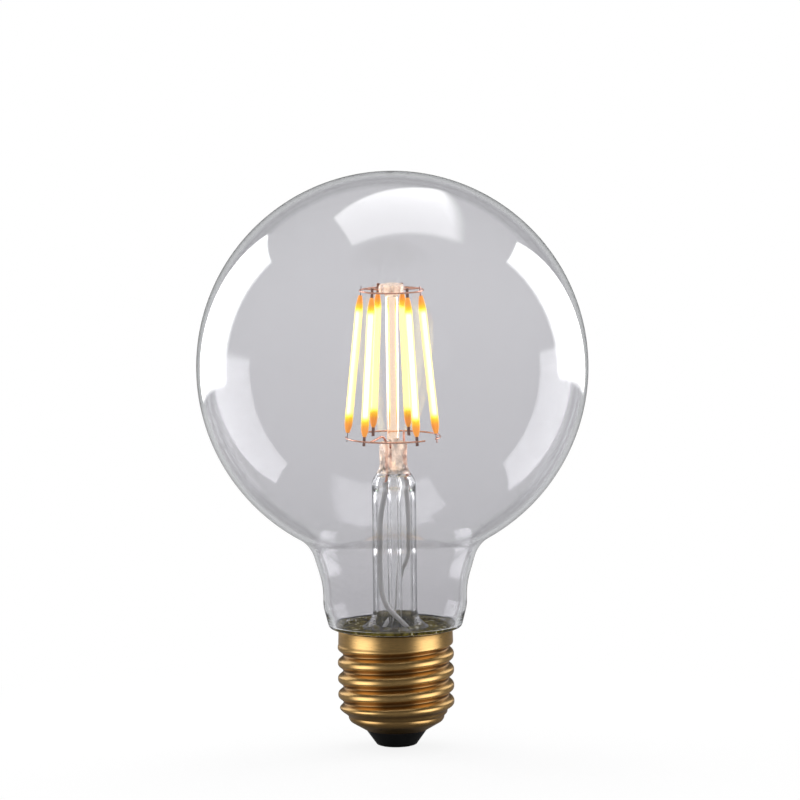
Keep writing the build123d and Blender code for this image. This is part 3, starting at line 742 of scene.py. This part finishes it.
def make_stem():
    """Flare tube and press as fused glass, open where the exhaust tube and the rod join."""
    hole = arc((0, BLOW_HOLE_DOME), BLOW_HOLE_RADIUS, 90, 0, 6)
    hole += [(BLOW_HOLE_RADIUS, BLOW_HOLE_FOOT), (EXHAUST_BORE, CAVITY_TOP)]
    hole_rings = [circle_ring(r, z, STEM_SEGMENTS) for r, z in hole]
    points, faces = joined(skin(stem_outside()), skin(stem_inside()), skin(hole_rings))
    tube = mesh_piece("stem_tube", points, faces, STEM_GLASS, ["stem_flare_tube"])
    refinish(tube, PRESS_GLASS, lambda middle: middle.z > PRESS_HAZE_AND_GLOW)
    refinish(tube, CEMENT, lambda middle: FLANGE_FINISH[0] < middle.z < FLANGE_FINISH[1])


def make_exhaust_tube():
    """The thin tube inside the stem, with its bore and its melted tip."""
    tip = EXHAUST_TIP + EXHAUST_TIP_LENGTH
    bore_end = tip + EXHAUST_BORE_RISE
    bore = [(EXHAUST_BORE, z) for z in (CAVITY_TOP, EXHAUST_MIDDLE, bore_end)]
    bore += arc((0, bore_end), EXHAUST_BORE, 0, -90, 5)[1:]
    shell = arc((0, EXHAUST_TIP + EXHAUST_TIP_RADIUS), EXHAUST_TIP_RADIUS, -90, -20, 4)
    shell += [(EXHAUST_RADIUS * share, tip - drop) for share, drop in TIP_SHOULDERS]
    shell += [(EXHAUST_RADIUS, z) for z in (tip + EXHAUST_TIP_RISE, EXHAUST_MIDDLE, CAVITY_TOP)]
    points, faces = joined(*(skin(lathe(part, EXHAUST_SEGMENTS)) for part in (bore, shell)))
    mesh_piece("stem_exhaust_tube", points, faces, STEM_GLASS, ["exhaust_tube"])


def make_rod():
    """The rod from its collar on the press to its button, all with a painted warm glow, and the
    button's glass hazy as well.
    """
    inner = BUTTON_RADIUS - BUTTON_EDGE
    levels = (PRESS_TOP + ROD_COLLAR, *ROD_LEVELS, BUTTON_BASE - BUTTON_FILLET)
    profile = [(ROD_RADIUS, z) for z in levels]
    profile += [(ROD_RADIUS + BUTTON_FILLET / 4, BUTTON_BASE - BUTTON_FILLET / 4)]
    profile += [(ROD_RADIUS + BUTTON_FILLET, BUTTON_BASE)]
    profile += arc((inner, BUTTON_BASE + BUTTON_EDGE), BUTTON_EDGE, -90, 0, 6)
    profile += arc((inner, BUTTON_TOP - BUTTON_EDGE), BUTTON_EDGE, 0, 90, 6)
    profile += [(1.0, BUTTON_TOP), (0.0, BUTTON_TOP)]
    points, faces = skin(lathe(profile, ROD_SEGMENTS))
    rod = mesh_piece("stem_rod", points, faces, ROD_GLASS, ["support_rod"])
    refinish(rod, PRESS_GLASS, lambda middle: middle.z > BUTTON_HAZE_AND_GLOW)


# Screw cap
def thread_ring(height, inset):
    """A ring of the rolled thread, whose crests are broad and whose roots are narrow."""
    swing = THREAD_DEPTH / 2 * ease((height - THREAD_START) / (THREAD_RUN_IN * 2 / 3))
    swing *= ease((THREAD_END - height) / THREAD_RUN_OUT)
    turn = 2 * math.pi * (height - CREST_HEIGHT) / THREAD_PITCH
    ring = []
    for i in range(CAP_SEGMENTS):
        azimuth = 2 * math.pi * i / CAP_SEGMENTS
        phase = turn - azimuth
        wave = math.cos(phase) + CREST_BREADTH * (1 - math.cos(2 * phase))
        r = thread_radius(height) - inset + swing * wave
        ring.append((r * math.cos(azimuth), r * math.sin(azimuth), height))
    return ring


def thread_radius(height):
    """The radius of the thread's circle at this height."""
    mean = THREAD_CREST_RADIUS - THREAD_DEPTH / 2
    rest = 1 - min((height - THREAD_START) / THREAD_RUN_IN, 1.0)
    run_out = ease((height - THREAD_END + THREAD_RUN_OUT) / THREAD_RUN_OUT)
    return mean - (mean - SHOULDER_RADIUS) * rest * rest + (SKIRT_RADIUS - mean) * run_out


def cap_rings(inset):
    """The cap shell's rings from its lip to its rim, moved in by inset."""
    slope = math.radians(SHOULDER_SLOPE)
    lip = (LIP_RADIUS - inset * math.sin(slope), LIP_HEIGHT + inset * math.cos(slope))
    corner_radius = SHOULDER_RADIUS - inset
    corner = (corner_radius, lip[1] + (corner_radius - lip[0]) * math.tan(slope))
    start = (corner_radius, THREAD_START)
    profile = [lip] + rounded(lip, corner, start, SHOULDER_BEND - inset, 8)
    rings = [circle_ring(r, z, CAP_SEGMENTS) for r, z in profile]
    steps = int((THREAD_END - THREAD_START) / THREAD_PITCH * RINGS_PER_PITCH)
    for step in range(steps + 1):
        height = THREAD_START + (THREAD_END - THREAD_START) * step / steps
        rings.append(thread_ring(height, inset))
    top = SKIRT_RADIUS - SKIRT_LEAN - inset
    edge = CAP_SHEET / 2
    if inset:
        rings.append(circle_ring(top, CAP_HEIGHT - edge, CAP_SEGMENTS))
    else:
        rings.append(circle_ring(top + SKIRT_LEAN / 2, (THREAD_END + CAP_HEIGHT) / 2, CAP_SEGMENTS))
        for r, z in arc((top - edge, CAP_HEIGHT - edge), edge, 0, 180, 6):
            rings.append(circle_ring(r, z, CAP_SEGMENTS))
    return rings


def make_cap():
    """The rolled brass shell, outside and inside."""
    rings = cap_rings(0.0) + list(reversed(cap_rings(CAP_SHEET)))
    points, faces = skin(rings, closed=True)
    mesh_piece("cap_shell_rolled", points, faces, BRASS, ["cap_shell"])


# Filaments
def filament_rings(radius, end_radius, trim, azimuth, count):
    """Rings along one leaning filament, with rounded, tapering ends."""
    turn = math.radians(azimuth)
    upper = Vector((TOP_RING[0] - RING_INSET, TOP_RING[1]))
    lower = Vector((LOWER_RING[0] - RING_INSET, LOWER_RING[1]))
    middle = (upper + lower) / 2
    along = (upper - lower).normalized()
    half = FILAMENT_LENGTH / 2 - trim
    foot, top = FILAMENT_TAPERS
    profile = []
    for share in TAPER_SHARES:
        profile.append((-half + foot * share, 1 - (1 - share) ** 2))
    shank = (2 * half - foot - top) / SHANK_STEPS
    profile += [(-half + foot + shank * i, 1.0) for i in range(1, SHANK_STEPS)]
    for share in reversed(TAPER_SHARES):
        profile.append((half - top * share, 1 - (1 - share) ** 2))
    out = Vector((math.cos(turn), math.sin(turn), 0))
    axis = out * along.x + Vector((0, 0, along.y))
    side = Vector((-math.sin(turn), math.cos(turn), 0))
    across = side.cross(axis)
    rings = []
    for place, fullness in profile:
        centre = out * (middle.x + along.x * place) + Vector((0, 0, middle.y + along.y * place))
        r = end_radius + (radius - end_radius) * fullness
        ring = []
        for i in range(count):
            t = 2 * math.pi * i / count
            ring.append(tuple(centre - side * r * math.cos(t) + across * r * math.sin(t)))
        rings.append(ring)
    return rings


def make_filament(number, azimuth):
    """One filament: its see-through coat with the lit chips inside."""
    node = f"filament_{number}"
    coat = filament_rings(FILAMENT_RADIUS, FILAMENT_END_RADIUS, 0.0, azimuth, COAT_SEGMENTS)
    points, faces = closed_skin(coat)
    mesh_piece(f"{node}_coat", points, faces, PHOSPHOR_COAT, [node])
    core = filament_rings(CORE_RADIUS, CORE_END_RADIUS, CORE_TRIM, azimuth, CORE_SEGMENTS)
    points, faces = closed_skin(core)
    mesh_piece(f"{node}_chips", points, faces, PHOSPHOR_CORE, [node])


# Cement
def make_cement():
    """The cement under the flange and round the neck's end, wet against the glass."""
    inner, outer = CEMENT_RADII
    foot = FLANGE_BASE - CEMENT_DEPTH
    under = FLANGE_BASE + FLANGE_GAP
    wall = SKIRT_RADIUS - CAP_SHEET - CEMENT_GAP
    seat = SEAT_RADIUS + CEMENT_GAP
    profile = [(outer, foot), (outer, THREAD_END), (wall, THREAD_END)]
    profile += [(wall - SKIRT_LEAN, CEMENT_TOP), (seat, CEMENT_TOP), (seat, under)]
    profile += [(inner + CEMENT_CHAMFER, under), (inner, FLANGE_BASE - CEMENT_CHAMFER)]
    profile += [(inner, foot)]
    points, faces = skin(lathe(profile, CEMENT_SEGMENTS), closed=True)
    mesh_piece("cement_fill", points, faces, CEMENT, ["cap_cement"])


make_globe()
make_stem()
make_exhaust_tube()
make_rod()
make_cap()
make_cement()
for number, azimuth in enumerate(FILAMENT_ANGLES, start=1):
    make_filament(number, azimuth)

# Finishes of the nodes that stay as they are
FINISHES = {
    "insulator": BLACK_GLASS,
    "centre_contact": CONTACT,
    "top_ring_wire": RING_WIRE,
    "lower_ring_front": RING_WIRE,
    "lower_ring_back": RING_WIRE,
    "anchor_wire": LEAD_WIRE,
    "lead_wire_left": LEAD_WIRE,
    "lead_wire_right": LEAD_WIRE,
    "shell_lead": LEAD_WIRE,
    "lead_sleeve_left": SLEEVE,
    "lead_sleeve_right": SLEEVE,
    "driver_board": BOARD,
    "bridge_rectifier": PACKAGE,
    "driver_chip": PACKAGE,
    "smoothing_capacitor": CAPACITOR,
    "fusible_resistor": RESISTOR,
    "solder_joints": SOLDER,
}
for number in range(1, len(FILAMENT_ANGLES) + 1):
    FINISHES[f"filament_tabs_{number}"] = TAB_METAL
for name, material in FINISHES.items():
    node = nodes[name]
    node.data.materials.clear()
    node.data.materials.append(material)
    node.data.polygons.foreach_set("material_index", [0] * len(node.data.polygons))

# Camera: a long lens, a little above the bulb and rolled a little, as the photograph has it
FRAME_WIDTH = 181.0
CAMERA_DISTANCE = 1800.0
CAMERA_ELEVATION = 7.0
CAMERA_ROLL = 0.7
CAMERA_SENSOR = 36.0
CAMERA_RANGE = 20.0
AIM = (1.65, 0.0, 79.0)

camera_data = bpy.data.cameras.new("camera")
camera_data.sensor_width = CAMERA_SENSOR
camera_data.lens = CAMERA_SENSOR * CAMERA_DISTANCE / FRAME_WIDTH
camera_data.clip_end = CAMERA_RANGE
camera = bpy.data.objects.new("camera", camera_data)
bpy.context.scene.collection.objects.link(camera)
elevation = math.radians(CAMERA_ELEVATION)
back = Vector((0, -math.cos(elevation), math.sin(elevation)))
camera.location = (Vector(AIM) + back * CAMERA_DISTANCE) * MM
look = back.to_track_quat("Z", "Y")
roll = Quaternion(Vector((0, 0, 1)), math.radians(-CAMERA_ROLL))
camera.rotation_mode = "QUATERNION"
camera.rotation_quaternion = look @ roll
bpy.context.scene.camera = camera


# Studio
def softbox(name, centre, across, up, size, radiance, feather):
    """A rectangular lamp with soft edges, given its middle and its two directions."""
    width, height = size
    lamp_data = bpy.data.lights.new(name, "AREA")
    lamp_data.shape = "RECTANGLE"
    lamp_data.size = width * MM
    lamp_data.size_y = height * MM
    lamp_data.energy = radiance * math.pi * width * height * MM * MM
    lamp_data.use_nodes = True
    tree = lamp_data.node_tree
    tree.nodes.clear()
    geometry = tree.nodes.new("ShaderNodeNewGeometry")
    split = tree.nodes.new("ShaderNodeSeparateXYZ")
    tree.links.new(geometry.outputs["Parametric"], split.inputs["Vector"])
    fades = []
    for axis in ("X", "Y"):
        off = math_node(tree, "SUBTRACT", split.outputs[axis], 0.5)
        fades.append(smooth(tree, math_node(tree, "ABSOLUTE", off), 0.5, 0.5 - feather))
    fade = math_node(tree, "MULTIPLY", *fades)
    glow = tree.nodes.new("ShaderNodeEmission")
    tree.links.new(fade, glow.inputs["Strength"])
    output = tree.nodes.new("ShaderNodeOutputLight")
    tree.links.new(glow.outputs["Emission"], output.inputs["Surface"])
    lamp = bpy.data.objects.new(name, lamp_data)
    bpy.context.scene.collection.objects.link(lamp)
    lamp.location = Vector(centre) * MM
    x, y = Vector(across).normalized(), Vector(up).normalized()
    z = x.cross(y).normalized()
    lamp.rotation_mode = "QUATERNION"
    lamp.rotation_quaternion = Matrix((x, z.cross(x), z)).transposed().to_quaternion()
    lamp.visible_camera = False
    return lamp


def flag(lamp, pieces, name, state):
    """Keeps a lamp's light on the given pieces or off them, as a studio's flags do."""
    listed = bpy.data.collections.new(name)
    for piece in pieces:
        listed.objects.link(piece)
    for entry in listed.collection_objects:
        entry.light_linking.link_state = state
    lamp.light_linking.receiver_collection = listed


def white_for_eye(tree, shown, lit):
    """Shows a plain white to the camera and through glass, and a lit tone elsewhere."""
    path = tree.nodes.new("ShaderNodeLightPath")
    rays = (path.outputs["Is Camera Ray"], path.outputs["Is Transmission Ray"])
    mix = tree.nodes.new("ShaderNodeMixShader")
    tree.links.new(math_node(tree, "MAXIMUM", *rays), mix.inputs["Fac"])
    tree.links.new(lit, mix.inputs[1])
    tree.links.new(shown, mix.inputs[2])
    return mix


def make_world():
    """A white surround for the eye, a soft one for matt surfaces and a dim one for gloss."""
    world = bpy.data.worlds.new("studio")
    bpy.context.scene.world = world
    world.use_nodes = True
    tree = world.node_tree
    tree.nodes.clear()
    output = tree.nodes.new("ShaderNodeOutputWorld")
    tones = []
    for level in (1.0, AMBIENT, ROOM):
        tone = tree.nodes.new("ShaderNodeBackground")
        tone.inputs["Color"].default_value = (level, level, level, 1)
        tones.append(tone.outputs["Background"])
    white, ambient, room = tones
    path = tree.nodes.new("ShaderNodeLightPath")
    gloss = tree.nodes.new("ShaderNodeMixShader")
    tree.links.new(path.outputs["Is Glossy Ray"], gloss.inputs["Fac"])
    tree.links.new(ambient, gloss.inputs[1])
    tree.links.new(room, gloss.inputs[2])
    mix = white_for_eye(tree, white, gloss.outputs["Shader"])
    tree.links.new(mix.outputs["Shader"], output.inputs["Surface"])


def make_floor():
    """A wide white floor that keeps a faint shadow near the bulb."""
    mesh = bpy.data.meshes.new("floor")
    half = FLOOR_HALF
    corners = [(-half, -half, 0), (half, -half, 0), (half, half, 0), (-half, half, 0)]
    mesh.from_pydata(corners, [], [(0, 1, 2, 3)])
    floor = bpy.data.objects.new("floor", mesh)
    floor.location.z = -FLOOR_DROP
    bpy.context.scene.collection.objects.link(floor)
    material, tree, output = new_material("floor_white")
    bright = tree.nodes.new("ShaderNodeBsdfDiffuse")
    bright.inputs["Color"].default_value = (0.8, 0.8, 0.8, 1)
    dim = tree.nodes.new("ShaderNodeBsdfDiffuse")
    dim.inputs["Color"].default_value = (FLOOR_TONE, FLOOR_TONE, FLOOR_TONE, 1)
    white = tree.nodes.new("ShaderNodeEmission")
    white.inputs["Strength"].default_value = 1.0
    place = tree.nodes.new("ShaderNodeTexCoord")
    values = (place.outputs["Object"],)
    reach = operate(tree, "ShaderNodeVectorMath", "LENGTH", values)["Value"]
    partly = tree.nodes.new("ShaderNodeMixShader")
    tree.links.new(smooth(tree, reach, *SHADOW_FADE), partly.inputs["Fac"])
    tree.links.new(bright.outputs["BSDF"], partly.inputs[1])
    tree.links.new(white.outputs["Emission"], partly.inputs[2])
    mix = white_for_eye(tree, partly.outputs["Shader"], dim.outputs["BSDF"])
    tree.links.new(mix.outputs["Shader"], output.inputs["Surface"])
    mesh.materials.append(material)
    return floor


# How bright the room is to matt surfaces and to glossy ones, and the floor to both of them
AMBIENT = 0.7
ROOM = 0.10
FLOOR_TONE = 0.16
FLOOR_HALF = 3.0
FLOOR_DROP = 0.0002
# The floor is plain white beyond the second reach, and mostly white below the first
SHADOW_FADE = (0.04, 0.13, 0.86, 1.0)

make_world()
floor = make_floor()

# Two tall softboxes behind the bulb and one above, each with a weaker twin for the cap.
# A place is the middle, the two directions and the size.
CAP = [bpy.data.objects["cap_shell_rolled"], nodes["insulator"], nodes["centre_contact"]]
LEFT = ((-312, 283, 220), (-0.287, -0.948, 0.140), (-0.279, 0.223, 0.934), (305, 427))
RIGHT = ((319, 251, 252), (-0.167, 0.975, -0.145), (0.473, 0.209, 0.856), (291, 507))
TOP = ((-46, 133, 514), (-0.703, -0.146, 0.696), (0.170, -0.985, -0.035), (501, 348))
# Name, place, radiance for the bulb and for the cap, and how wide the edge fades
SOFTBOXES = (
    ("left", LEFT, 4.6, 1.2, 0.04),
    ("right", RIGHT, 4.6, 1.2, 0.04),
    ("top", TOP, 2.7, 0.6, 0.08),
)
for side, place, radiance, cap_radiance, feather in SOFTBOXES:
    flag(softbox(f"softbox_{side}", *place, radiance, feather), CAP, f"not_{side}", "EXCLUDE")
    flag(softbox(f"cap_{side}", *place, cap_radiance, feather), CAP, f"only_{side}", "INCLUDE")

# Cards low at both sides that only the cap sees, as through a glass table
CARD_RADIANCE = 2.2
CARD_FEATHER = 0.4
CARD_SIZE = (280, 240)
for side, name in ((-1, "card_left"), (1, "card_right")):
    place = ((side * 185, -80, -40), (0.4, side * 0.92, 0), (0, 0, 1), CARD_SIZE)
    card = softbox(name, *place, CARD_RADIANCE, CARD_FEATHER)
    flag(card, CAP[:1], f"only_{name}", "INCLUDE")
    see_through = bpy.data.collections.new(f"{name}_passes")
    see_through.objects.link(floor)
    see_through.collection_objects[0].light_linking.link_state = "EXCLUDE"
    card.light_linking.blocker_collection = see_through

scene = bpy.context.scene
scene.view_settings.view_transform = "Standard"
scene.cycles.max_bounces = 32
scene.cycles.transmission_bounces = 32
scene.cycles.transparent_max_bounces = 32
scene.cycles.glossy_bounces = 8
scene.cycles.caustics_refractive = False
scene.cycles.caustics_reflective = False
